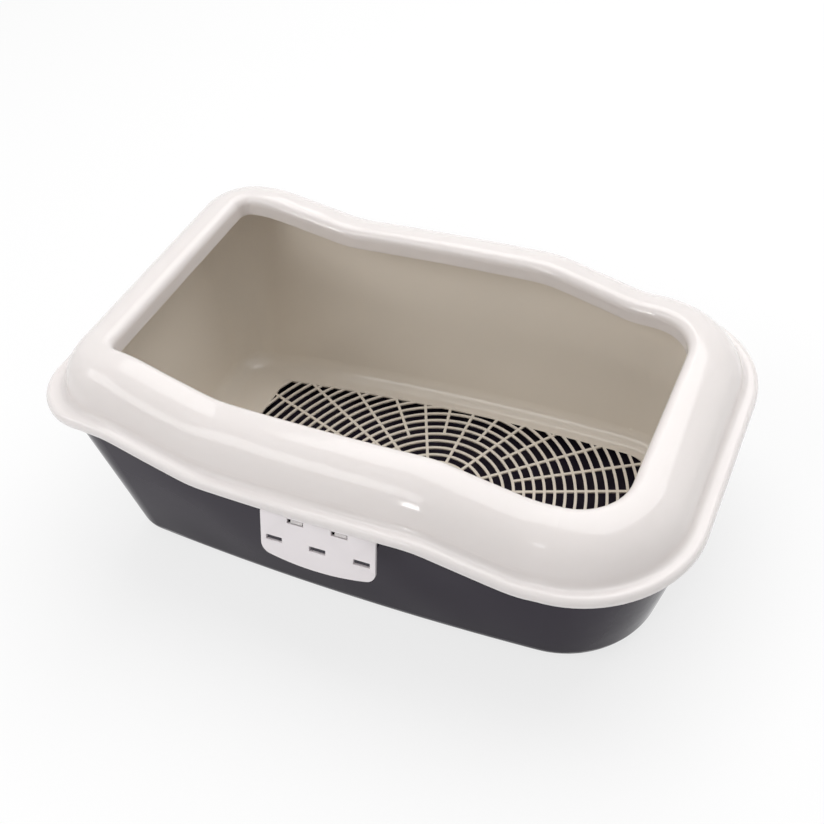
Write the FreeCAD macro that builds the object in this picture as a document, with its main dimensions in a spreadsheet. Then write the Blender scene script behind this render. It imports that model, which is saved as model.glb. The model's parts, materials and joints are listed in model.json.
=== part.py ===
"""A sifting litter tray: base pan, sieve tray with a web floor, waved rim and two swing clips.

Millimetres. +Z is up, +X runs to the low entry end, and the origin is the middle of the footprint.
The rim follows one crest line, and its height follows one wave along X: high at the back, level
along the middle and low at the entry. Every lip and seat is measured from that line and that wave.
"""
import FreeCAD, Part
import Sketcher
import operator
import os
from math import acos, asin, atan, cos, degrees, pi, radians, sin, sqrt
from types import SimpleNamespace

from FreeCAD import Placement, Rotation, Vector

# Driving sizes: name, value, meaning
SIZES = [
    ("crest_half_length", 213.5, "middle to the crest line at either end"),
    ("crest_half_width", 123.3, "middle to the crest line at its widest"),
    ("crest_apex", 21, "where along X the crest line is widest"),
    ("crest_side_radius", 2500, "plan radius of the crest line's bowed sides"),
    ("crest_back_corner", 17, "plan radius of the crest line's back corners"),
    ("crest_front_corner", 47, "plan radius of the crest line's entry corners"),
    ("crest_height", 200, "ground to the crest along the level middle"),
    ("back_rise", 20.5, "how far the back stands above the middle"),
    ("back_level", 1, "level stretch of the crest between the back corner and the back step"),
    ("back_step_length", 100, "length of the back step along X"),
    ("front_drop", 20, "how far the entry lies below the middle"),
    ("front_level", 4.5, "level stretch of the crest between the entry step and the entry corner"),
    ("front_step_length", 98, "length of the entry step along X"),
    ("step_radius", 90, "radius of the curves that round both steps"),
    ("rim_wall", 2.5, "thickness of the rim's shell"),
    ("roll_radius", 8, "radius of the roll over the inner lip"),
    ("lip_drop", 9.5, "straight inner lip below the roll"),
    ("shoulder_radius", 36.5, "radius of the rim's outer shoulder"),
    ("shoulder_turn", 76, "degrees that the shoulder turns down"),
    ("foot_radius", 5, "hollow fillet between shoulder and flange"),
    ("flange_drop", 35, "crest to the top of the flange"),
    ("flange_reach", 49, "crest line to the flange's outer face"),
    ("flange_back_corner", 54, "plan radius of the flange's back corners"),
    ("flange_edge", 4.5, "radius of the flange's outer edge"),
    ("rim_depth", 42.4, "crest to the bottom of the flange's skirt"),
    ("pan_wall", 2.2, "thickness of the pan and tray walls"),
    ("base_back", 238, "middle to the back end of the pan's underside, before its fillet"),
    ("base_front", 220, "middle to the entry end of the pan's underside, before its fillet"),
    ("base_half_width", 120.7, "middle to the side of the pan's underside, before its fillet"),
    ("base_apex", 25, "where along X the underside is widest"),
    ("base_side_radius", 2600, "plan radius of the underside's bowed sides"),
    ("base_back_corner", 34, "plan radius of the underside's back corners"),
    ("base_front_corner", 78, "plan radius of the underside's entry corners"),
    ("wall_height", 190, "height at which the pan's walls reach their full spread"),
    ("wall_reach", 43, "crest line to the pan's wall at that height"),
    ("wall_entry_reach", 56, "crest line to the pan's entry wall at that height"),
    ("base_floor", 2.5, "thickness of the pan's floor"),
    ("base_edge", 22, "fillet between the pan's floor and walls"),
    ("floor_margin", 24, "edge of the pan's underside, before its fillet, to its floor plate"),
    ("lip_reach", 44, "crest line to the outer edge of the pan and tray lips"),
    ("lip_thickness", 2, "thickness of the pan and tray lips"),
    ("seat_gap", 0.3, "gap between stacked lips"),
    ("nest_gap", 0.8, "gap between the tray's walls and the pan's"),
    ("web_top", 20, "ground to the top of the sieve floor"),
    ("sieve_floor", 3, "thickness of the sieve floor"),
    ("sieve_cove", 19, "fillet between the sieve floor and its walls"),
    ("window_back", 187, "middle to the sieve window's back edge"),
    ("window_front", 194, "middle to the sieve window's entry edge"),
    ("window_half_width", 107.2, "middle to the window's side at its widest"),
    ("window_apex", 90, "where along X the window is widest"),
    ("window_side_radius", 2400, "plan radius of the window's bowed sides"),
    ("window_back_corner", 3, "plan radius of the window's back corners"),
    ("window_front_corner", 55, "plan radius of the window's entry corners"),
    ("web_depth", 1.5, "thickness of the web's bars"),
    ("web_border", 1.2, "width of the border round the web"),
    ("web_gap", 0.1, "seam between the web's border and the floor"),
    ("web_centre", 5.5, "where along X the web's rings are centred"),
    ("web_bar", 2.5, "width of the web's rings and ribs"),
    ("web_pitch", 9, "spacing of the web's rings"),
    ("web_hub", 11.2, "radius of the web's first ring"),
    ("web_branch", 74.2, "radius from which the web has twice the ribs"),
    ("clip_centre", 2, "where along X the clips are centred"),
    ("clip_width", 94, "width of a clip's plate"),
    ("clip_depth", 40.5, "hinge axis to the middle of a clip's lower edge"),
    ("clip_plate", 2.5, "thickness of a clip's plate"),
    ("clip_corner", 9, "radius of a clip's lower corners"),
    ("clip_sweep", 190, "radius of a clip's lower edge"),
    ("clip_lean", 15, "degrees that a clip hangs out when it is off its catch"),
    ("clip_inset", 0.4, "how far a closed clip's face lies behind the flange's skirt"),
    ("clip_bar", 1.1, "radius of the hinge bar along a clip's top"),
    ("hinge_gap", 0.3, "gap between hinge bar and hinge hooks"),
    ("hinge_hook_wall", 2, "thickness of the rim's hinge hooks"),
    ("hinge_hook_width", 9.5, "width of the rim's hinge hooks"),
    ("hinge_hook_shift", 1, "how far a hinge hook stands off the middle of its slot"),
    ("hinge_hook_root", 1, "how far a hinge hook's root goes into the flange"),
    ("slot_width", 13.5, "width of a clip's slots"),
    ("slot_height", 4.6, "height of a clip's slots"),
    ("slot_pitch", 36, "spacing of a clip's slots"),
    ("catch_slot_depth", 21.6, "hinge axis to the middle of the lower slots"),
    ("catch_reach", 7, "hinge axis to the tip of a clip's catches"),
    ("catch_thickness", 3, "thickness of a clip's catches"),
    ("ledge_thickness", 3, "thickness of the pan's catch ledges"),
    ("ledge_clearance", 0.4, "gap between a closed catch and its ledge"),
    ("ledge_setback", 1, "gap between a closed clip's plate and its ledge"),
    ("recess_margin", 7, "free length of the lip recess past each end of a clip"),
    ("recess_depth", 8.8, "hinge axis to the floor of the lip recess"),
]
# Web ribs in degrees from the Y axis: those from the hub, and those that start further out
RIB_ANGLES = (0, 25, 50, 70, 90)
BRANCH_ANGLES = (12.5, 37.5, 60, 80)
# Sections that carry the rim along a bowed side and round a back corner
SIDE_STATIONS = 29
CORNER_STATIONS = 13
# Degrees of a hinge hook's bend, and the area in square millimetres below which a web cell stays solid
HOOK_TURN = 125
SMALLEST_CELL = 2

doc = FreeCAD.newDocument("litter_tray")
sheet = doc.addObject("Spreadsheet::Sheet", "sizes")
for row, (name, number, meaning) in enumerate(SIZES, start=1):
    sheet.set(f"A{row}", name)
    sheet.set(f"B{row}", str(number))
    sheet.setAlias(f"B{row}", name)
    sheet.set(f"C{row}", meaning)
doc.recompute()

OPERATIONS = {"+": operator.add, "-": operator.sub, "*": operator.mul, "/": operator.truediv}


class Size:
    """A number and the sheet formula that gives it, so that one sum both draws and binds."""

    def __init__(self, number, formula):
        self.number = float(number)
        self.formula = formula

    def joined(self, sign, other):
        if not isinstance(other, Size):
            other = Size(other, str(other))
        number = OPERATIONS[sign](self.number, other.number)
        return Size(number, f"({self.formula} {sign} {other.formula})")

    def __add__(self, other):
        return self.joined("+", other)

    def __sub__(self, other):
        return self.joined("-", other)

    def __mul__(self, other):
        return self.joined("*", other)

    def __truediv__(self, other):
        return self.joined("/", other)

    def __float__(self):
        return self.number


s = SimpleNamespace(**{name: Size(sheet.get(name), f"sizes.{name}") for name, _, _ in SIZES})
n = SimpleNamespace(**{name: float(sheet.get(name)) for name, _, _ in SIZES})

# Levels of the stacked lips along the level middle
sieve_lip_top = s.crest_height - s.flange_drop - s.rim_wall - s.seat_gap
base_lip_top = sieve_lip_top - s.lip_thickness - s.seat_gap
hinge_level = s.crest_height - s.rim_depth - s.hinge_gap - s.clip_bar
hinge_offset = s.crest_half_width + s.flange_reach - s.clip_inset - s.clip_plate / 2
sieve_underside = s.web_top - s.sieve_floor
catch_bottom = s.catch_slot_depth - s.slot_height / 2
catch_top = catch_bottom - s.catch_thickness
ledge_underside = hinge_level - catch_top + s.ledge_clearance
ledge_edge = hinge_offset - s.clip_plate / 2 - s.ledge_setback
recess_floor = hinge_offset - s.recess_depth

# Distances from the middle at which the two steps start
back_start = s.crest_half_length - s.crest_back_corner - s.back_level
front_start = s.crest_half_length - s.crest_front_corner - s.front_level - s.front_step_length


# The wave and the plan outlines

def step_turn(length, drop):
    """Angle of the straight run between a step's two curves."""
    reach = 4 * n.step_radius - drop
    half = (length - sqrt(length * length - reach * drop)) / reach
    return 2 * atan(half)


def step_fall(along, length, drop):
    """How far a step has fallen at a distance along it."""
    turn = step_turn(length, drop)
    curve = n.step_radius * sin(turn)
    if along <= 0:
        return 0.0
    if along >= length:
        return drop
    if along < curve:
        return n.step_radius - sqrt(n.step_radius ** 2 - along ** 2)
    if along > length - curve:
        return drop - step_fall(length - along, length, drop)
    return n.step_radius * (1 - cos(turn)) + (along - curve) * sin(turn) / cos(turn)


def wave(x):
    """Height of the rim at x above its level middle."""
    back = step_fall(x + float(back_start), n.back_step_length, n.back_rise)
    front = step_fall(x - float(front_start), n.front_step_length, n.front_drop)
    return n.back_rise - back - front


def crest_outline(reach):
    """The crest line, offset outwards by reach."""
    return SimpleNamespace(
        back=s.crest_half_length + reach,
        front=s.crest_half_length + reach,
        half_width=s.crest_half_width + reach,
        apex=s.crest_apex,
        side_radius=s.crest_side_radius + reach,
        back_corner=s.crest_back_corner + reach,
        front_corner=s.crest_front_corner + reach,
    )


def pan_outline(height, inset):
    """The pan's outside at a height, drawn in by inset: it spreads evenly from ground to wall height."""
    top = crest_outline(s.wall_reach)
    share = height / s.wall_height

    def spread(low, high):
        return low + (high - low) * share

    return SimpleNamespace(
        back=spread(s.base_back, top.back) - inset,
        front=spread(s.base_front, s.crest_half_length + s.wall_entry_reach) - inset,
        half_width=spread(s.base_half_width, top.half_width) - inset,
        apex=spread(s.base_apex, top.apex),
        side_radius=spread(s.base_side_radius, top.side_radius) - inset,
        back_corner=spread(s.base_back_corner, top.back_corner) - inset,
        front_corner=spread(s.base_front_corner, top.front_corner) - inset,
    )


def window_outline(reach):
    """The sieve window, offset outwards by reach."""
    return SimpleNamespace(
        back=s.window_back + reach,
        front=s.window_front + reach,
        half_width=s.window_half_width + reach,
        apex=s.window_apex,
        side_radius=s.window_side_radius + reach,
        back_corner=s.window_back_corner + reach,
        front_corner=s.window_front_corner + reach,
    )


def outline_marks(plan):
    """Arc centres and turning angles of the half of an outline that lies at negative Y."""
    bow = Vector(float(plan.apex), float(plan.side_radius) - float(plan.half_width), 0)

    def corner(x, radius):
        run = float(plan.side_radius) - radius
        centre = Vector(x, bow.y - sqrt(run ** 2 - (x - bow.x) ** 2), 0)
        return centre, pi + acos(-(centre.x - bow.x) / run)

    back, back_turn = corner(float(plan.back_corner) - float(plan.back), float(plan.back_corner))
    front, front_turn = corner(float(plan.front) - float(plan.front_corner), float(plan.front_corner))
    return SimpleNamespace(bow=bow, back=back, front=front, back_turn=back_turn, front_turn=front_turn)


def arc(centre, radius, start, end):
    return Part.ArcOfCircle(Part.Circle(centre, Vector(0, 0, 1), float(radius)), start, end)


def mirrored(point):
    return Vector(point.x, -point.y, point.z)


def outline_curves(plan):
    """An outline's eight curves, anticlockwise from the back end."""
    marks = outline_marks(plan)
    back, front = -float(plan.back), float(plan.front)
    return [
        Part.LineSegment(Vector(back, -marks.back.y, 0), Vector(back, marks.back.y, 0)),
        arc(marks.back, plan.back_corner, pi, marks.back_turn),
        arc(marks.bow, plan.side_radius, marks.back_turn, marks.front_turn),
        arc(marks.front, plan.front_corner, marks.front_turn, 2 * pi),
        Part.LineSegment(Vector(front, marks.front.y, 0), Vector(front, -marks.front.y, 0)),
        arc(mirrored(marks.front), plan.front_corner, 0, 2 * pi - marks.front_turn),
        arc(mirrored(marks.bow), plan.side_radius, 2 * pi - marks.front_turn, 2 * pi - marks.back_turn),
        arc(mirrored(marks.back), plan.back_corner, 2 * pi - marks.back_turn, pi),
    ]


def outline_wire(plan):
    return Part.Wire([curve.toShape() for curve in outline_curves(plan)])


# Sketch helpers

ORIGIN, X_AXIS, Z_AXIS = (-1, 1), -1, -2


def new_body(name):
    body = doc.addObject("PartDesign::Body", name)
    body.Label = name
    return body


def new_sketch(body, name, role, height=None):
    """A sketch on one of the body's own planes, raised to a height."""
    sketch = body.newObject("Sketcher::SketchObject", f"{body.Name}_{name}")
    plane = next(f for f in body.Origin.OriginFeatures if f.Role == role)
    sketch.AttachmentSupport = [(plane, "")]
    sketch.MapMode = "FlatFace"
    if height is not None:
        sketch.setExpression("AttachmentOffset.Base.z", height.formula)
    return sketch


def hold(sketch, kind, *where, size=None):
    """Adds a constraint, bound to a size where it has one."""
    if size is None:
        sketch.addConstraint(Sketcher.Constraint(kind, *where))
        return
    index = sketch.addConstraint(Sketcher.Constraint(kind, *where, float(size)))
    sketch.renameConstraint(index, f"{kind}_{index}")
    sketch.setExpression(f"Constraints.{kind}_{index}", size.formula)


def draw_outline(sketch, plan):
    sketch.addGeometry(outline_curves(plan), False)
    for edge in range(8):
        hold(sketch, "Tangent", edge, 2, (edge + 1) % 8, 1)
    for edge in (0, 4):
        hold(sketch, "Vertical", edge)
    for edge, radius in ((1, plan.back_corner), (3, plan.front_corner), (2, plan.side_radius)):
        hold(sketch, "Radius", edge, size=radius)
        hold(sketch, "Equal", edge, 8 - edge)
    hold(sketch, "DistanceX", 0, 1, *ORIGIN, size=plan.back)
    hold(sketch, "DistanceX", *ORIGIN, 4, 1, size=plan.front)
    for edge in (2, 6):
        hold(sketch, "DistanceX", *ORIGIN, edge, 3, size=plan.apex)
    bow = plan.side_radius - plan.half_width
    hold(sketch, "DistanceY", *ORIGIN, 2, 3, size=bow)
    hold(sketch, "DistanceY", 6, 3, *ORIGIN, size=bow)


def draw_rectangle(sketch, left, right, low, high):
    """A rectangle between two distances along each of the sketch's axes, given as signed sizes."""
    first = sketch.GeometryCount
    x0, x1, y0, y1 = (sign * float(size) for sign, size in (left, right, low, high))
    corners = [Vector(x0, y0, 0), Vector(x1, y0, 0), Vector(x1, y1, 0), Vector(x0, y1, 0)]
    for index in range(4):
        sketch.addGeometry(Part.LineSegment(corners[index], corners[(index + 1) % 4]), False)
    for index in range(4):
        hold(sketch, "Coincident", first + index, 2, first + (index + 1) % 4, 1)
        hold(sketch, "Vertical" if index % 2 else "Horizontal", first + index)
    for kind, (sign, size), point in (
        ("DistanceX", left, (first, 1)),
        ("DistanceX", right, (first + 1, 2)),
        ("DistanceY", low, (first, 1)),
        ("DistanceY", high, (first + 1, 2)),
    ):
        ends = (*ORIGIN, *point) if sign > 0 else (*point, *ORIGIN)
        hold(sketch, kind, *ends, size=size)


def draw_wave(sketch, level, far_level, margin):
    """The region between the wave at a level and a far level above or below it."""
    far = s.crest_half_length + margin
    z = float(level)
    marks = [Vector(-float(far), z + n.back_rise, 0)]
    curves = []
    steps = (
        (-float(back_start), n.back_step_length, n.back_rise, z + n.back_rise),
        (float(front_start), n.front_step_length, n.front_drop, z),
    )
    for start, length, drop, top in steps:
        turn = step_turn(length, drop)
        high = Vector(start, top, 0)
        low = Vector(start + length, top - drop, 0)
        run = Vector(n.step_radius * sin(turn), -n.step_radius * (1 - cos(turn)), 0)
        curves += [
            Part.LineSegment(marks[-1], high),
            arc(high - Vector(0, n.step_radius, 0), n.step_radius, pi / 2 - turn, pi / 2),
            Part.LineSegment(high + run, low - run),
            arc(low + Vector(0, n.step_radius, 0), n.step_radius, 3 * pi / 2 - turn, 3 * pi / 2),
        ]
        marks.append(low)
    ends = [Vector(float(far), marks[-1].y, 0), Vector(float(far), float(far_level), 0),
            Vector(-float(far), float(far_level), 0), marks[0]]
    curves += [Part.LineSegment(marks[-1], ends[0])]
    curves += [Part.LineSegment(ends[index], ends[index + 1]) for index in range(3)]
    sketch.addGeometry(curves, False)
    for line, bend, slope, hollow, after in ((0, 1, 2, 3, 4), (4, 5, 6, 7, 8)):
        hold(sketch, "Tangent", line, 2, bend, 2)
        hold(sketch, "Tangent", bend, 1, slope, 1)
        hold(sketch, "Tangent", slope, 2, hollow, 1)
        hold(sketch, "Tangent", hollow, 2, after, 1)
        hold(sketch, "Horizontal", line)
        for edge in (bend, hollow):
            hold(sketch, "Radius", edge, size=s.step_radius)
    for edge in (8, 9, 10, 11):
        hold(sketch, "Coincident", edge, 2, (edge + 1) % 12, 1)
    for kind, edge in (("Horizontal", 8), ("Vertical", 9), ("Horizontal", 10), ("Vertical", 11)):
        hold(sketch, kind, edge)
    hold(sketch, "DistanceX", 0, 1, *ORIGIN, size=far)
    hold(sketch, "DistanceX", *ORIGIN, 8, 2, size=far)
    hold(sketch, "DistanceX", 0, 2, *ORIGIN, size=back_start)
    hold(sketch, "DistanceX", 0, 2, 4, 1, size=s.back_step_length)
    hold(sketch, "DistanceX", *ORIGIN, 4, 2, size=front_start)
    hold(sketch, "DistanceX", 4, 2, 8, 1, size=s.front_step_length)
    hold(sketch, "DistanceY", *ORIGIN, 4, 1, size=level)
    hold(sketch, "DistanceY", 4, 1, 0, 1, size=s.back_rise)
    hold(sketch, "DistanceY", 8, 2, 4, 1, size=s.front_drop)
    hold(sketch, "DistanceY", *ORIGIN, 10, 1, size=far_level)


def add_feature(body, kind, name, profile, **settings):
    feature = body.newObject(f"PartDesign::{kind}", f"{body.Name}_{name}")
    feature.Profile = profile
    for key, value in settings.items():
        if isinstance(value, Size):
            feature.setExpression(key, value.formula)
        else:
            setattr(feature, key, value)
    doc.recompute()
    return feature


def cut(body, name, profile, **settings):
    """A pocket, with a test that it took material away."""
    before = body.Shape.Volume
    feature = add_feature(body, "Pocket", name, profile, **settings)
    if body.Shape.Volume >= before:
        raise RuntimeError(f"{feature.Name} removed nothing")
    return feature


def round_edges(body, name, level, radius):
    """Fillets every edge that lies flat at a level."""
    base = body.Tip
    edges = [
        f"Edge{index}" for index, edge in enumerate(base.Shape.Edges, start=1)
        if abs(edge.BoundBox.ZMin - float(level)) < 1e-4 and abs(edge.BoundBox.ZMax - float(level)) < 1e-4
    ]
    feature = body.newObject("PartDesign::Fillet", f"{body.Name}_{name}")
    feature.Base = (base, edges)
    feature.setExpression("Radius", radius.formula)
    doc.recompute()
    return feature


# Pan and tray: tapered walls with a waved lip

def add_lip(body, top):
    """A flat lip that follows the wave, cut back behind the clips."""
    margin = s.wall_reach + s.flange_reach
    underside = top - s.lip_thickness
    bottom = underside - s.front_drop - s.lip_thickness
    sketch = new_sketch(body, "lip_plan", "XY_Plane", bottom)
    draw_outline(sketch, crest_outline(s.lip_reach))
    add_feature(body, "Pad", "lip_block", sketch, Length=s.front_drop + s.back_rise + s.lip_thickness * 3)
    sketch = new_sketch(body, "lip_underside", "XZ_Plane")
    draw_wave(sketch, underside, bottom - s.lip_thickness, margin)
    cut(body, "lip_underside_cut", sketch, Type="ThroughAll", SideType="Symmetric")
    sketch = new_sketch(body, "clip_recess", "XY_Plane")
    half = s.clip_width / 2 + s.recess_margin
    outside = s.crest_half_width + margin
    span = (-1, half - s.clip_centre), (1, half + s.clip_centre)
    draw_rectangle(sketch, *span, (1, recess_floor), (1, outside))
    draw_rectangle(sketch, *span, (-1, outside), (-1, recess_floor))
    cut(body, "clip_recess_cut", sketch, Type="ThroughAll", Reversed=True)


def add_walls(body, floor, inset):
    """The solid block between the floor's underside and full spread."""
    low = new_sketch(body, "walls_low", "XY_Plane", floor)
    draw_outline(low, pan_outline(floor, inset))
    high = new_sketch(body, "walls_high", "XY_Plane", s.wall_height)
    draw_outline(high, pan_outline(s.wall_height, inset))
    add_feature(body, "AdditiveLoft", "walls", low, Sections=[(high, [""])], Ruled=True)


def hollow_out(body, top, floor, inset):
    """Trims the walls to the wave and takes out the inside."""
    sketch = new_sketch(body, "top_edge", "XZ_Plane")
    draw_wave(sketch, top, s.wall_height + s.crest_height, s.wall_reach + s.flange_reach)
    cut(body, "top_edge_cut", sketch, Type="ThroughAll", SideType="Symmetric")
    low = new_sketch(body, "inside_low", "XY_Plane", floor)
    draw_outline(low, pan_outline(floor, inset))
    high = new_sketch(body, "inside_high", "XY_Plane", s.wall_height)
    draw_outline(high, pan_outline(s.wall_height, inset))
    add_feature(body, "SubtractiveLoft", "inside", low, Sections=[(high, [""])], Ruled=True)


def make_base_pan():
    body = new_body("base_pan")
    ground = Size(0, "0")
    add_lip(body, base_lip_top)
    add_walls(body, ground, ground)
    ledges = new_sketch(body, "catch_ledges", "XY_Plane", ledge_underside)
    half = s.slot_pitch + s.slot_width / 2
    span = (-1, half - s.clip_centre), (1, half + s.clip_centre)
    draw_rectangle(ledges, *span, (1, s.base_half_width), (1, ledge_edge))
    draw_rectangle(ledges, *span, (-1, ledge_edge), (-1, s.base_half_width))
    add_feature(body, "Pad", "ledges", ledges, Length=s.ledge_thickness)
    hollow_out(body, base_lip_top, s.base_floor, s.pan_wall)
    round_edges(body, "inner_edge", s.base_floor, s.base_edge - s.pan_wall)
    round_edges(body, "outer_edge", ground, s.base_edge)
    opening = new_sketch(body, "floor_opening", "XY_Plane", s.base_floor)
    draw_outline(opening, pan_outline(ground, s.floor_margin))
    cut(body, "floor_opening_cut", opening, Type="ThroughAll")
    return body


def make_pan_floor():
    """The flat floor inside the pan's rounded bottom edge."""
    body = new_body("pan_floor")
    plan = new_sketch(body, "floor_plan", "XY_Plane")
    draw_outline(plan, pan_outline(Size(0, "0"), s.floor_margin))
    add_feature(body, "Pad", "plate", plan, Length=s.base_floor)
    return body


def make_sieve_tray():
    body = new_body("sieve_tray")
    inset = s.pan_wall + s.nest_gap
    add_lip(body, sieve_lip_top)
    add_walls(body, sieve_underside, inset)
    hollow_out(body, sieve_lip_top, s.web_top, inset + s.pan_wall)
    round_edges(body, "cove", s.web_top, s.sieve_cove)
    window = new_sketch(body, "window", "XY_Plane", s.web_top)
    draw_outline(window, window_outline(s.web_border + s.web_gap))
    cut(body, "window_cut", window, Type="ThroughAll")
    return body


# Web floor: rings and ribs inside a border

def web_point(radius, angle):
    return Vector(n.web_centre + radius * cos(angle), radius * sin(angle), 0)


def web_cell(inner, outer, start, end):
    """One opening between two rings and two ribs, whose sides run along the ribs."""
    half = n.web_bar / 2
    low, high = inner + half, outer - half
    a0, a1 = start + asin(half / low), end - asin(half / low)
    b0, b1 = start + asin(half / high), end - asin(half / high)
    corners = [web_point(low, a0), web_point(high, b0), web_point(high, b1), web_point(low, a1)]
    return corners, Part.Wire([
        Part.LineSegment(corners[0], corners[1]).toShape(),
        Part.Arc(corners[1], web_point(high, (b0 + b1) / 2), corners[2]).toShape(),
        Part.LineSegment(corners[2], corners[3]).toShape(),
        Part.Arc(corners[3], web_point(low, (a0 + a1) / 2), corners[0]).toShape(),
    ])


def rib_directions(angles):
    """Rib angles, given from the Y axis, repeated in all four quarters."""
    quarters = {(sign * angle + turn) % 360 for angle in angles for sign in (1, -1) for turn in (90, 270)}
    return [radians(angle) for angle in sorted(quarters)]


def make_sieve_web():
    opening = Part.Face(outline_wire(window_outline(Size(0, "0"))))
    furthest = sqrt((n.window_back + n.window_front) ** 2 + n.window_half_width ** 2)
    ribs = rib_directions(RIB_ANGLES)
    branched = rib_directions(RIB_ANGLES + BRANCH_ANGLES)
    cells = []
    inner = n.web_hub
    while inner < furthest:
        outer = inner + n.web_pitch
        turns = branched if inner > n.web_branch - n.web_pitch / 2 else ribs
        for start, end in zip(turns, turns[1:] + [turns[0] + 2 * pi]):
            corners, wire = web_cell(inner, outer, start, end)
            inside = [opening.isInside(corner, 1e-6, True) for corner in corners]
            if all(inside):
                cells.append(wire)
            elif any(inside):
                clipped = Part.Face(wire).common(opening)
                cells += [face.OuterWire for face in clipped.Faces if face.Area > SMALLEST_CELL]
        inner = outer
    border = outline_wire(window_outline(s.web_border))
    plate = Part.Face([border] + cells, "Part::FaceMakerBullseye")
    web = doc.addObject("Part::Feature", "sieve_web")
    web.Label = "sieve_web"
    web.Shape = plate.extrude(Vector(0, 0, n.web_depth))
    web.Placement = Placement(Vector(0, 0, n.web_top - n.web_depth), Rotation())
    return web


# Rim: one section carried round the crest line, with hinge hooks under its flange

def corner_reach(turn):
    """Flange reach at an angle round a back corner, whose flange is squarer than its crest line."""
    side = n.crest_back_corner + n.flange_reach
    inset = side - n.flange_back_corner
    lean = cos(turn) + sin(turn)
    straight = side / max(cos(turn), sin(turn))
    if straight * min(cos(turn), sin(turn)) <= inset:
        return straight - n.crest_back_corner
    return inset * lean + sqrt(inset ** 2 * (lean ** 2 - 2) + n.flange_back_corner ** 2) - n.crest_back_corner


def rim_section(reach):
    """The shell's section as curves of (reach, height) marks, from the inner lip over the crest."""
    turn = radians(n.shoulder_turn)
    wall, roll, shoulder, foot = n.rim_wall, n.roll_radius, n.shoulder_radius, n.foot_radius
    run = (n.flange_drop - (shoulder + foot) * (1 - cos(turn))) / sin(turn)
    shoulder_end = (shoulder * sin(turn), -shoulder * (1 - cos(turn)))
    foot_start = (shoulder_end[0] + run * cos(turn), shoulder_end[1] - run * sin(turn))
    foot_centre = (foot_start[0] + foot * sin(turn), foot_start[1] + foot * cos(turn))
    edge_centre = (reach - n.flange_edge, -n.flange_drop - n.flange_edge)

    def on(centre, radius, angle):
        return (centre[0] + radius * cos(angle), centre[1] + radius * sin(angle))

    def bend(centre, radius, start, end):
        return [on(centre, radius, angle) for angle in (start, (start + end) / 2, end)]

    def skin(depth):
        """Lip, roll, shoulder, foot and flange edge, sunk by depth below the outer face."""
        return [
            [(depth - roll, -roll - n.lip_drop), (depth - roll, -roll)],
            bend((0, -roll), roll - depth, pi, pi / 2),
            bend((0, -shoulder), shoulder - depth, pi / 2, pi / 2 - turn),
            None,
            bend(foot_centre, foot + depth, 3 * pi / 2 - turn, 3 * pi / 2),
            None,
            bend(edge_centre, n.flange_edge - depth, pi / 2, 0),
            [(reach - depth, edge_centre[1]), (reach - depth, -n.rim_depth)],
        ]

    def linked(curves):
        for index, curve in enumerate(curves):
            if curve is None:
                curves[index] = [curves[index - 1][-1], curves[index + 1][0]]
        return curves

    outer = linked(skin(0))
    inner = [curve[::-1] for curve in linked(skin(wall))[::-1]]
    return outer + [[outer[-1][-1], inner[0][0]]] + inner + [[inner[-1][-1], outer[0][0]]]


def rim_wire(section, point, angle):
    """The section stood at a point of the crest line, facing outwards along an angle."""
    outward = Vector(cos(angle), sin(angle), 0)

    def place(mark):
        spot = point + outward * mark[0]
        return Vector(spot.x, spot.y, n.crest_height + mark[1] + wave(spot.x))

    edges = []
    for curve in section:
        points = [place(mark) for mark in curve]
        shape = Part.LineSegment(*points) if len(points) == 2 else Part.Arc(*points)
        edges.append(shape.toShape())
    return Part.Wire(edges)


def hinge_hook():
    """A hook that hangs from the flange and cradles a clip's hinge bar, drawn across the tray."""
    inner = n.clip_bar + n.hinge_gap
    outer = inner + n.hinge_hook_wall
    top = n.crest_height - n.flange_drop - n.rim_wall + n.hinge_hook_root - float(hinge_level)
    end = pi + radians(HOOK_TURN)
    middle = (pi + end) / 2

    def at(radius, angle):
        return Vector(0, -radius * cos(angle), radius * sin(angle))

    edges = [
        Part.LineSegment(Vector(0, outer, top), at(outer, pi)),
        Part.Arc(at(outer, pi), at(outer, middle), at(outer, end)),
        Part.LineSegment(at(outer, end), at(inner, end)),
        Part.Arc(at(inner, end), at(inner, middle), at(inner, pi)),
        Part.LineSegment(at(inner, pi), Vector(0, inner, top)),
        Part.LineSegment(Vector(0, inner, top), Vector(0, outer, top)),
    ]
    face = Part.Face(Part.Wire([edge.toShape() for edge in edges]))
    face.translate(Vector(-n.hinge_hook_width / 2, 0, 0))
    return face.extrude(Vector(n.hinge_hook_width, 0, 0))


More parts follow.
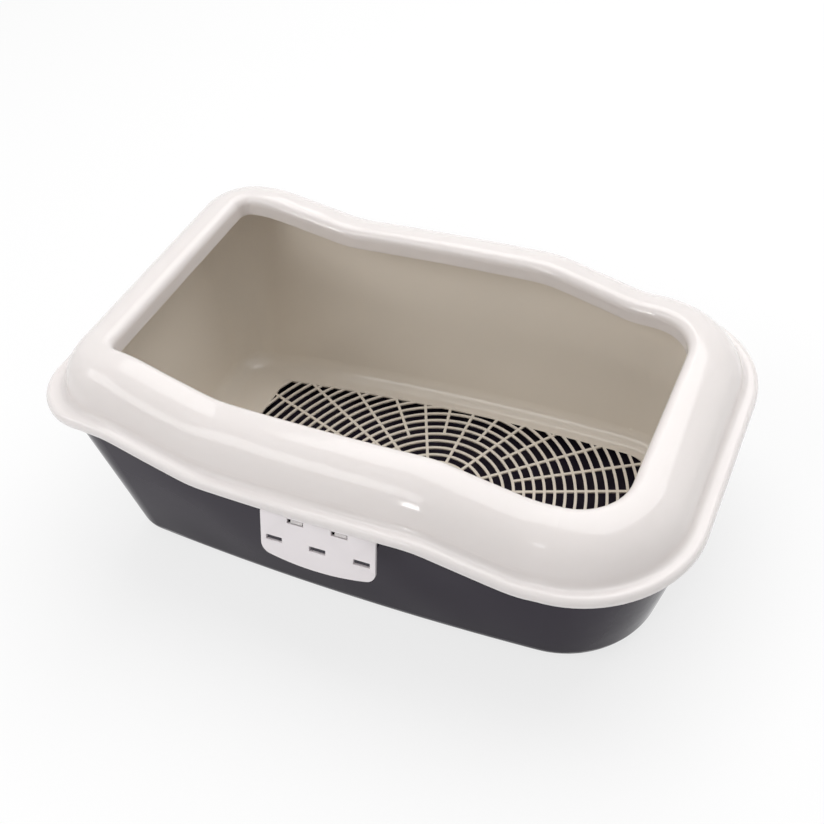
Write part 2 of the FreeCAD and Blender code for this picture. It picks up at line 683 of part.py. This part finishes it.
def make_rim():
    plan = crest_outline(Size(0, "0"))
    marks = outline_marks(plan)
    section = rim_section(n.flange_reach)
    up = Vector(0, 0, 1)
    back_point = Vector(-n.crest_half_length, marks.back.y, 0)
    front_point = Vector(n.crest_half_length, marks.front.y, 0)
    back_face = Part.Face(rim_wire(section, back_point, pi))
    front_face = Part.Face(rim_wire(section, front_point, 2 * pi))
    stations = []
    for index in range(SIDE_STATIONS):
        share = index / (SIDE_STATIONS - 1)
        angle = marks.back_turn + (marks.front_turn - marks.back_turn) * share
        point = marks.bow + Vector(cos(angle), sin(angle), 0) * n.crest_side_radius
        stations.append(rim_wire(section, point, angle))
    bends = []
    for index in range(CORNER_STATIONS):
        share = index / (CORNER_STATIONS - 1)
        angle = pi + (marks.back_turn - pi) * share
        point = marks.back + Vector(cos(angle), sin(angle), 0) * n.crest_back_corner
        bends.append(rim_wire(rim_section(corner_reach(share * pi / 2)), point, angle))
    half = [
        Part.makeLoft(bends, True, False),
        Part.makeLoft(stations, True, False),
        front_face.revolve(marks.front, up, degrees(marks.front_turn - 2 * pi)),
    ]
    ends = [
        back_face.extrude(Vector(0, -2 * marks.back.y, 0)),
        front_face.extrude(Vector(0, -2 * marks.front.y, 0)),
    ]
    hooks = []
    for side in (-1, 1):
        for slot in (-1, 1):
            hook = hinge_hook()
            if side > 0:
                hook.rotate(Vector(0, 0, 0), up, 180)
            along = n.clip_centre + slot * n.slot_pitch / 2 + n.hinge_hook_shift
            hook.translate(Vector(along, side * float(hinge_offset), float(hinge_level)))
            hooks.append(hook)
    other_half = [piece.mirror(Vector(0, 0, 0), Vector(0, 1, 0)) for piece in half]
    rim = doc.addObject("Part::Feature", "rim")
    rim.Label = "rim"
    rim.Shape = half[0].multiFuse(half[1:] + ends + other_half + hooks).removeSplitter()
    return rim


# Clips: a slotted plate with a hinge bar along its top and three catches behind

def draw_plate(sketch):
    half, depth = n.clip_width / 2, n.clip_depth
    corner, sweep = n.clip_corner, n.clip_sweep
    centre_height = sweep - depth
    run = sweep - corner
    corner_x = half - corner
    corner_z = centre_height - sqrt(run ** 2 - corner_x ** 2)
    lean = asin(corner_x / run)
    right = Vector(corner_x, corner_z, 0)
    left = Vector(-corner_x, corner_z, 0)
    sketch.addGeometry([
        Part.LineSegment(Vector(half, 0, 0), Vector(-half, 0, 0)),
        Part.LineSegment(Vector(-half, 0, 0), Vector(-half, corner_z, 0)),
        arc(left, corner, pi, 3 * pi / 2 - lean),
        arc(Vector(0, centre_height, 0), sweep, 3 * pi / 2 - lean, 3 * pi / 2 + lean),
        arc(right, corner, 3 * pi / 2 + lean, 2 * pi),
        Part.LineSegment(Vector(half, corner_z, 0), Vector(half, 0, 0)),
    ], False)
    hold(sketch, "Coincident", 0, 2, 1, 1)
    hold(sketch, "Coincident", 5, 2, 0, 1)
    for edge in (1, 2, 3, 4):
        hold(sketch, "Tangent", edge, 2, edge + 1, 1)
    hold(sketch, "Horizontal", 0)
    hold(sketch, "Vertical", 1)
    hold(sketch, "Vertical", 5)
    hold(sketch, "PointOnObject", 0, 1, X_AXIS)
    hold(sketch, "PointOnObject", 3, 3, Z_AXIS)
    for edge, radius in ((2, s.clip_corner), (4, s.clip_corner), (3, s.clip_sweep)):
        hold(sketch, "Radius", edge, size=radius)
    hold(sketch, "DistanceX", *ORIGIN, 0, 1, size=s.clip_width / 2)
    hold(sketch, "DistanceX", 0, 2, *ORIGIN, size=s.clip_width / 2)
    hold(sketch, "DistanceY", *ORIGIN, 3, 3, size=s.clip_sweep - s.clip_depth)


def slot_span(places, width):
    """Signed edges of a slot whose middle lies a number of pitches from the clip's middle."""
    low = s.slot_pitch * abs(places) - width / 2
    high = s.slot_pitch * abs(places) + width / 2
    if places == 0:
        return (-1, width / 2), (1, width / 2)
    return ((1, low), (1, high)) if places > 0 else ((-1, high), (-1, low))


def make_clip(name, side):
    """A clip in its own frame, hinge axis along X and outside towards -Y, then hung on the rim."""
    body = new_body(name)
    plate = new_sketch(body, "plate_face", "XZ_Plane")
    draw_plate(plate)
    add_feature(body, "Pad", "plate", plate, Length=s.clip_plate, SideType="Symmetric")
    slots = new_sketch(body, "slots", "XZ_Plane")
    for places in (-0.5, 0.5):
        draw_rectangle(slots, *slot_span(places, s.slot_width), (-1, s.slot_height), (1, s.clip_bar))
    for places in (-1, 0, 1):
        low = catch_bottom + s.slot_height
        draw_rectangle(slots, *slot_span(places, s.slot_width), (-1, low), (-1, catch_bottom))
    cut(body, "slot_cut", slots, Type="ThroughAll", SideType="Symmetric")
    catches = new_sketch(body, "catches", "XZ_Plane")
    for places in (-1, 0, 1):
        draw_rectangle(catches, *slot_span(places, s.slot_width), (-1, catch_bottom), (-1, catch_top))
    add_feature(body, "Pad", "catch", catches, Length=s.catch_reach, Reversed=True)
    bar = new_sketch(body, "bar_end", "YZ_Plane")
    bar.addGeometry(Part.Circle(Vector(0, 0, 0), Vector(0, 0, 1), n.clip_bar), False)
    hold(bar, "Coincident", 0, 3, *ORIGIN)
    hold(bar, "Radius", 0, size=s.clip_bar)
    add_feature(body, "Pad", "bar", bar, Length=s.clip_width, SideType="Symmetric")
    spin = Rotation(Vector(0, 0, 1), 0 if side < 0 else 180)
    body.Placement = Placement(Vector(0, 0, 0), spin.multiply(Rotation(Vector(1, 0, 0), -n.clip_lean)))
    body.setExpression("Placement.Base.x", s.clip_centre.formula)
    body.setExpression("Placement.Base.y", f"{side} * {hinge_offset.formula}")
    body.setExpression("Placement.Base.z", hinge_level.formula)
    return body


nodes = [
    make_base_pan(),
    make_pan_floor(),
    make_sieve_tray(),
    make_sieve_web(),
    make_rim(),
    make_clip("clip_left", -1),
    make_clip("clip_right", 1),
]
doc.recompute()

faults = [item.Name for item in doc.Objects if {"Invalid", "Error"} & set(item.State)]
for node in nodes:
    if node.Shape.isNull() or not node.Shape.isValid() or len(node.Shape.Solids) != 1:
        faults.append(node.Label)
if faults:
    raise RuntimeError(f"faulty objects: {faults}")

os.makedirs("parts", exist_ok=True)
for node in nodes:
    node.Shape.exportStep(f"parts/{node.Label}.step")
    box = node.Shape.BoundBox
    print(f"{node.Label}: volume {node.Shape.Volume:.0f}, x {box.XMin:.2f} {box.XMax:.2f},"
          f" y {box.YMin:.2f} {box.YMax:.2f}, z {box.ZMin:.2f} {box.ZMax:.2f}")
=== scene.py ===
"""Litter tray: finishes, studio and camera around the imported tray."""

import json
import math

import bpy
from mathutils import Matrix, Vector

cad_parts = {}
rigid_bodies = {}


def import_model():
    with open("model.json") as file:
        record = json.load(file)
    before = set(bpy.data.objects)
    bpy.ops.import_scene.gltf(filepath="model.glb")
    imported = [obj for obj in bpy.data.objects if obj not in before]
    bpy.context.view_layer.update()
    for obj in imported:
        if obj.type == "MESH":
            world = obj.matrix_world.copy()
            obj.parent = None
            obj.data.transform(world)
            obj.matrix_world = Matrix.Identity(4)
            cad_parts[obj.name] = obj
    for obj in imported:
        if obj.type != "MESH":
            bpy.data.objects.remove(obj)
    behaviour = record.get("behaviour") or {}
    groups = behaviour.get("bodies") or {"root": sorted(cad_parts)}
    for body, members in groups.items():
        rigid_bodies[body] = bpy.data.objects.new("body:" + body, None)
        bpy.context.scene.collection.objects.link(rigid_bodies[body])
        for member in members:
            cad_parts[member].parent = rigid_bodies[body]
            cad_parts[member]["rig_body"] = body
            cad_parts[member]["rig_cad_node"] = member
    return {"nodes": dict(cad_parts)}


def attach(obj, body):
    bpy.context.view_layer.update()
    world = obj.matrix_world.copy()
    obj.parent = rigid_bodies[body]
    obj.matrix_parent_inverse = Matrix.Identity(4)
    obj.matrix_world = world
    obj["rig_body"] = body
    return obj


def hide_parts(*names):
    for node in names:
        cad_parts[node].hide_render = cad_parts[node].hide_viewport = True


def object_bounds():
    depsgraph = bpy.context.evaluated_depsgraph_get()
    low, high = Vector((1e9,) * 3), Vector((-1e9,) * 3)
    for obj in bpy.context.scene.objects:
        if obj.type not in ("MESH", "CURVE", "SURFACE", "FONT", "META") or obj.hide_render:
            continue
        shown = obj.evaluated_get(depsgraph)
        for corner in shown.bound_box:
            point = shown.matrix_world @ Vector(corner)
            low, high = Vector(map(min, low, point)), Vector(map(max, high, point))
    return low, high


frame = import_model()
CAD_LOW, CAD_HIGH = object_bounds()

bl_info = {
    "name": "Litter tray",
    "version": (1, 0, 0),
    "blender": (4, 5, 0),
    "location": "View3D > Sidebar > Litter tray",
    "description": "Finishes a sifting litter tray and sets up its studio",
    "category": "Object",
}

# Skin of the plastic: lumps a metre, their detail, and how much they change the roughness
CLOUD_SCALE = 9.0
GRAIN_SCALE = 900.0
PEEL_SCALE = 90.0
SWAY_SCALE = 14.0
SKIN_DETAIL = 2.0
SWAY_DETAIL = 0.0
NOISE_MIDDLE = 0.5
GRAIN_DEPTH = 0.05
CLOUD_DEPTH = 0.04

# How far the clouds darken each colour
CHARCOAL_DAPPLE = 0.2
CREAM_DAPPLE = 0.06
WHITE_DAPPLE = 0.03

# Heights of the orange peel and of the pan's slow sway, in metres
CHARCOAL_PEEL = 4e-6
PALE_PEEL = 8e-6
WALL_SWAY = 1.2e-3

# Refractive indices; the charcoal's is low so that the pale floor leaves it dark
PLASTIC_INDEX = 1.49
CHARCOAL_INDEX = 1.11

# Light that soaks into the rim: its share, and its reach in metres, alike for red, green and blue
RIM_GLOW = 0.7
GLOW_REACH = 0.006
GLOW_SPREAD = (1, 1, 1)

# Copies of nodes: gap that closes between loose triangles, flat faces that join, edges that count as sharp
MERGE = 1e-6
FLAT = math.radians(0.5)
CREASE = math.radians(40)

# Rounding of the copies' edges, in metres, and its steps
WEB_EDGE = 0.0004
CLIP_EDGE = 0.0005
EDGE_STEPS = 2

# Studio in metres: gap under the tray, and each soft box's place, target, width and height
FLOOR_GAP = 0.0005
SOFT_BOXES = {
    "overhead": ((0.2, 0.8, 2.1), (0, 0, 0), 2.4, 2.4),
    "front": ((-0.33, -1.87, 0.77), (0, 0, 0.15), 0.3, 0.3),
    "high_front": ((-1.0, -1.25, 1.5), (0, 0, 0.1), 2.2, 0.6),
    "side": ((2.0, 0.7, 0.6), (0, 0, 0.15), 2.4, 2.0),
}
WHITE = (1, 1, 1, 1)

# Colour sockets of a Mix node, whose names are shared with its sockets for numbers
MIX_LOW = 6
MIX_HIGH = 7
MIX_RESULT = 2


# Shader sockets that take part in Python sums

class Socket:
    """One output socket of a material's or world's node tree."""

    def __init__(self, tree, socket):
        self.tree = tree
        self.socket = socket

    def math(self, operation, other, swapped=False):
        pair = (other, self) if swapped else (self, other)
        return self.tree.node("ShaderNodeMath", {"operation": operation}, {0: pair[0], 1: pair[1]})

    def __add__(self, other):
        return self.math("ADD", other)

    def __radd__(self, other):
        return self.math("ADD", other, swapped=True)

    def __sub__(self, other):
        return self.math("SUBTRACT", other)

    def __rsub__(self, other):
        return self.math("SUBTRACT", other, swapped=True)

    def __mul__(self, other):
        return self.math("MULTIPLY", other)

    def __rmul__(self, other):
        return self.math("MULTIPLY", other, swapped=True)


class Tree:
    """A material's or world's node tree, with one method that adds any node."""

    def __init__(self, owner):
        owner.use_nodes = True
        self.nodes = owner.node_tree.nodes
        self.links = owner.node_tree.links
        self.nodes.clear()

    def node(self, kind, settings=None, inputs=None, output=0):
        """Adds a node and gives the named output of it, or nothing where it has none."""
        made = self.nodes.new(kind)
        for name, value in (settings or {}).items():
            setattr(made, name, value)
        for name, value in (inputs or {}).items():
            if isinstance(value, Socket):
                self.links.new(value.socket, made.inputs[name])
            else:
                made.inputs[name].default_value = value
        if len(made.outputs) == 0:
            return None
        return Socket(self, made.outputs[output])

    def noise(self, scale, detail=SKIN_DETAIL):
        place = self.node("ShaderNodeTexCoord", output="Object")
        return self.node("ShaderNodeTexNoise", None, {"Vector": place, "Scale": scale, "Detail": detail})

    def between(self, low, high, share):
        """A colour from low at share 0 to high at share 1."""
        inputs = {"Factor": share, MIX_LOW: low, MIX_HIGH: high}
        return self.node("ShaderNodeMix", {"data_type": "RGBA"}, inputs, output=MIX_RESULT)

    def looked_at(self):
        """1 for rays from the camera, a mirror or glass, and 0 for light on its way to a surface."""
        rays = ("Is Camera Ray", "Is Glossy Ray", "Is Transmission Ray")
        seen, mirrored, passed = (self.node("ShaderNodeLightPath", output=ray) for ray in rays)
        return seen + mirrored + passed

    def surface(self, shader):
        self.node("ShaderNodeOutputMaterial", None, {"Surface": shader})


def rgba(colour):
    return (*colour, 1.0)


def shade_of(colour, share):
    return tuple(channel * share for channel in colour)


def moulded_plastic(name, colour, roughness, dapple, peel, sway=0.0, index=PLASTIC_INDEX, glow=0.0):
    """Injection-moulded plastic: a faint cloudiness of colour, a fine grain in the gloss, an orange-peel
    skin, and where they are given a slow sway of the walls and light that soaks in."""
    made = bpy.data.materials.new(name)
    tree = Tree(made)
    cloud = tree.noise(CLOUD_SCALE)
    grain = tree.noise(GRAIN_SCALE)
    tint = tree.between(rgba(shade_of(colour, 1 - dapple)), rgba(colour), cloud)
    rough = roughness + (grain - NOISE_MIDDLE) * GRAIN_DEPTH + (cloud - NOISE_MIDDLE) * CLOUD_DEPTH
    height = tree.noise(PEEL_SCALE) * peel
    if sway:
        height = height + tree.noise(SWAY_SCALE, SWAY_DETAIL) * sway
    bump = tree.node("ShaderNodeBump", None, {"Strength": 1.0, "Distance": 1.0, "Height": height})
    tree.surface(tree.node("ShaderNodeBsdfPrincipled", None, {
        "Base Color": tint,
        "Roughness": rough,
        "Normal": bump,
        "IOR": index,
        "Subsurface Weight": glow,
        "Subsurface Radius": GLOW_SPREAD,
        "Subsurface Scale": GLOW_REACH,
    }))
    return made


# Sizes and colours that a user would change

def colour_prop(name, description, default):
    return bpy.props.FloatVectorProperty(
        name=name, description=description, default=default, subtype="COLOR", size=3, min=0, max=1)


def share_prop(name, description, default):
    return bpy.props.FloatProperty(
        name=name, description=description, default=default, subtype="FACTOR", min=0, max=1)


def angle_prop(name, description, degrees):
    return bpy.props.FloatProperty(
        name=name, description=description, default=math.radians(degrees), subtype="ANGLE")


def power_prop(name, description, default):
    return bpy.props.FloatProperty(
        name=name, description=description, default=default, unit="POWER", min=0)


class LitterTrayFinish(bpy.types.PropertyGroup):
    """Colours and gloss of the mouldings."""

    rim_colour: colour_prop("Rim", "Warm white of the rim", (0.83, 0.775, 0.757))
    clip_colour: colour_prop("Clips", "White of the clips", (0.88, 0.83, 0.845))
    sieve_colour: colour_prop("Sieve", "Cream of the sieve tray", (0.83, 0.765, 0.675))
    base_colour: colour_prop("Base", "Charcoal of the base pan", (0.03, 0.0235, 0.037))
    rim_roughness: share_prop("Rim roughness", "Roughness of the rim and the clips", 0.09)
    sieve_roughness: share_prop("Sieve roughness", "Roughness of the sieve tray", 0.15)
    base_roughness: share_prop("Base roughness", "Roughness of the base pan", 0.07)


class LitterTrayStage(bpy.types.PropertyGroup):
    """Camera, floor and lights."""

    camera_place: bpy.props.FloatVectorProperty(
        name="Camera", description="Where the camera stands", default=(0.3573, -0.6693, 0.8242),
        subtype="TRANSLATION", unit="LENGTH")
    camera_yaw: angle_prop("Yaw", "Camera's turn about the vertical, from looking along +Y", -28.26)
    camera_pitch: angle_prop("Pitch", "How far the camera looks down", 43.03)
    camera_roll: angle_prop("Roll", "Camera's lean", -6.42)
    lens: bpy.props.FloatProperty(
        name="Lens", description="Focal length", default=54.57, subtype="DISTANCE_CAMERA")
    floor_width: bpy.props.FloatProperty(
        name="Floor width", description="Width of the floor", default=8.0, unit="LENGTH")
    floor_colour: colour_prop("Floor", "Colour of the floor", (0.95, 0.95, 0.95))
    floor_white: share_prop("Whiteness", "Share of plain white in the floor, the rest being shaded", 0.74)
    sky_level: bpy.props.FloatProperty(
        name="Sky", description="Even light all round", default=0.33, min=0)
    overhead_power: power_prop("Overhead", "Power of the soft box above", 43.0)
    front_power: power_prop("Front", "Power of the small soft box in front", 4.0)
    high_front_power: power_prop("High front", "Power of the wide soft box above the front one", 10.0)
    side_power: power_prop("Side", "Power of the soft box at the low end", 5.0)


# Finishes

def dress(node, material):
    """Gives a carried-over node its finish."""
    for slot in frame["nodes"][node].material_slots:
        slot.material = material


def softened_copy(node, name, body, width):
    """A copy of a node with its edges rounded over, which stands for it."""
    bpy.ops.object.select_all(action="DESELECT")
    source = frame["nodes"][node]
    source.select_set(True)
    bpy.context.view_layer.objects.active = source
    bpy.ops.object.duplicate()
    piece = bpy.context.object
    piece.name = name
    piece.parent = None
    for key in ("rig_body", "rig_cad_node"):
        del piece[key]
    bpy.ops.mesh.customdata_custom_splitnormals_clear()
    bpy.ops.object.mode_set(mode="EDIT")
    bpy.ops.mesh.select_all(action="SELECT")
    bpy.ops.mesh.remove_doubles(threshold=MERGE)
    bpy.ops.mesh.dissolve_limited(angle_limit=FLAT)
    bpy.ops.object.mode_set(mode="OBJECT")
    bevel = piece.modifiers.new("edges", "BEVEL")
    bevel.width = width
    bevel.segments = EDGE_STEPS
    bevel.angle_limit = CREASE
    bpy.ops.object.modifier_apply(modifier=bevel.name)
    bpy.ops.object.shade_smooth_by_angle(angle=CREASE)
    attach(piece, body)
    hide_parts(node)
    return piece


class LITTERTRAY_OT_base(bpy.types.Operator):
    """Finishes the base pan and its floor in glossy charcoal"""

    bl_idname = "litter_tray.base"
    bl_label = "Base pan"

    def execute(self, context):
        finish = context.scene.litter_tray_finish
        charcoal = moulded_plastic(
            "glossy_charcoal", finish.base_colour, finish.base_roughness, CHARCOAL_DAPPLE, CHARCOAL_PEEL,
            sway=WALL_SWAY, index=CHARCOAL_INDEX)
        for node in ("base_pan", "pan_floor"):
            dress(node, charcoal)
        return {"FINISHED"}


class LITTERTRAY_OT_sieve(bpy.types.Operator):
    """Finishes the sieve tray and its web in cream"""

    bl_idname = "litter_tray.sieve"
    bl_label = "Sieve tray"

    def execute(self, context):
        finish = context.scene.litter_tray_finish
        cream = moulded_plastic(
            "cream", finish.sieve_colour, finish.sieve_roughness, CREAM_DAPPLE, PALE_PEEL)
        dress("sieve_tray", cream)
        web = softened_copy("sieve_web", "web_bars", "sieve", WEB_EDGE)
        web.data.materials[0] = cream
        return {"FINISHED"}


class LITTERTRAY_OT_rim(bpy.types.Operator):
    """Finishes the rim in glossy warm white"""

    bl_idname = "litter_tray.rim"
    bl_label = "Rim"

    def execute(self, context):
        finish = context.scene.litter_tray_finish
        warm_white = moulded_plastic(
            "warm_white", finish.rim_colour, finish.rim_roughness, WHITE_DAPPLE, PALE_PEEL, glow=RIM_GLOW)
        dress("rim", warm_white)
        return {"FINISHED"}


class LITTERTRAY_OT_clips(bpy.types.Operator):
    """Finishes both side clips in white"""

    bl_idname = "litter_tray.clips"
    bl_label = "Clips"

    def execute(self, context):
        finish = context.scene.litter_tray_finish
        white = moulded_plastic(
            "clip_white", finish.clip_colour, finish.rim_roughness, WHITE_DAPPLE, PALE_PEEL)
        for side in ("left", "right"):
            node = f"clip_{side}"
            plate = softened_copy(node, f"{side}_clip_plate", node, CLIP_EDGE)
            plate.data.materials[0] = white
        return {"FINISHED"}


# Studio

def pale_floor(stage):
    """A floor that shows nearly white and keeps the tray's shadow."""
    bpy.ops.object.select_all(action="DESELECT")
    bpy.ops.mesh.primitive_plane_add(size=stage.floor_width, location=(0, 0, CAD_LOW.z - FLOOR_GAP))
    floor = bpy.context.object
    floor.name = "floor"
    made = bpy.data.materials.new("floor")
    tree = Tree(made)
    lit = tree.node("ShaderNodeBsdfDiffuse", None, {"Color": rgba(stage.floor_colour)})
    white = tree.node("ShaderNodeEmission", None, {"Color": WHITE, "Strength": 1.0})
    share = tree.looked_at() * stage.floor_white
    tree.surface(tree.node("ShaderNodeMixShader", None, {0: share, 1: lit, 2: white}))
    floor.data.materials.append(made)


def white_world(level):
    """Even light all round, which the camera, mirrors and glass see as white."""
    world = bpy.data.worlds.new("studio")
    bpy.context.scene.world = world
    tree = Tree(world)
    strength = level + tree.looked_at() * (1 - level)
    light = tree.node("ShaderNodeBackground", None, {"Color": WHITE, "Strength": strength})
    tree.node("ShaderNodeOutputWorld", None, {"Surface": light})


def soft_box(name, place, target, width, height, power):
    """An area lamp that faces its target."""
    lamp = bpy.data.lights.new(name, "AREA")
    lamp.shape = "RECTANGLE"
    lamp.size = width
    lamp.size_y = height
    lamp.energy = power
    made = bpy.data.objects.new(name, lamp)
    bpy.context.scene.collection.objects.link(made)
    towards = Vector(target) - Vector(place)
    turn = towards.to_track_quat("-Z", "Y").to_matrix().to_4x4()
    made.matrix_world = Matrix.Translation(place) @ turn


def camera_matrix(stage):
    """The camera's place and turn from its yaw, pitch and roll."""
    yaw, pitch, roll = stage.camera_yaw, stage.camera_pitch, stage.camera_roll
    ahead = math.cos(pitch)
    forward = Vector((math.sin(yaw) * ahead, math.cos(yaw) * ahead, -math.sin(pitch)))
    level = forward.cross(Vector((0, 0, 1))).normalized()
    upright = level.cross(forward)
    right = level * math.cos(roll) + upright * math.sin(roll)
    up = upright * math.cos(roll) - level * math.sin(roll)
    turn = Matrix((right, up, -forward)).transposed().to_4x4()
    return Matrix.Translation(stage.camera_place) @ turn


def stand_camera(stage):
    """The camera at the photograph's viewing angle."""
    camera = bpy.data.cameras.new("camera")
    camera.lens = stage.lens
    stand = bpy.data.objects.new("camera", camera)
    bpy.context.scene.collection.objects.link(stand)
    stand.matrix_world = camera_matrix(stage)
    bpy.context.scene.camera = stand


class LITTERTRAY_OT_stage(bpy.types.Operator):
    """Sets up the floor, the lights and the camera"""

    bl_idname = "litter_tray.stage"
    bl_label = "Stage"

    def execute(self, context):
        stage = context.scene.litter_tray_stage
        context.scene.view_settings.view_transform = "Standard"
        pale_floor(stage)
        white_world(stage.sky_level)
        for name, (place, target, width, height) in SOFT_BOXES.items():
            soft_box(name, place, target, width, height, getattr(stage, f"{name}_power"))
        stand_camera(stage)
        return {"FINISHED"}


STEPS = (
    LITTERTRAY_OT_base,
    LITTERTRAY_OT_sieve,
    LITTERTRAY_OT_rim,
    LITTERTRAY_OT_clips,
    LITTERTRAY_OT_stage,
)


class LITTERTRAY_PT_panel(bpy.types.Panel):
    """Lists the steps that finish the tray"""

    bl_idname = "LITTERTRAY_PT_panel"
    bl_label = "Litter tray"
    bl_space_type = "VIEW_3D"
    bl_region_type = "UI"
    bl_category = "Litter tray"

    def draw(self, context):
        for step in STEPS:
            self.layout.operator(step.bl_idname)


CLASSES = (LitterTrayFinish, LitterTrayStage, *STEPS, LITTERTRAY_PT_panel)


def register():
    for kind in CLASSES:
        bpy.utils.register_class(kind)
    bpy.types.Scene.litter_tray_finish = bpy.props.PointerProperty(type=LitterTrayFinish)
    bpy.types.Scene.litter_tray_stage = bpy.props.PointerProperty(type=LitterTrayStage)


def unregister():
    del bpy.types.Scene.litter_tray_stage
    del bpy.types.Scene.litter_tray_finish
    for kind in reversed(CLASSES):
        bpy.utils.unregister_class(kind)


def main():
    register()
    bpy.ops.litter_tray.base()
    bpy.ops.litter_tray.sieve()
    bpy.ops.litter_tray.rim()
    bpy.ops.litter_tray.clips()
    bpy.ops.litter_tray.stage()


if __name__ == "__main__":
    main()
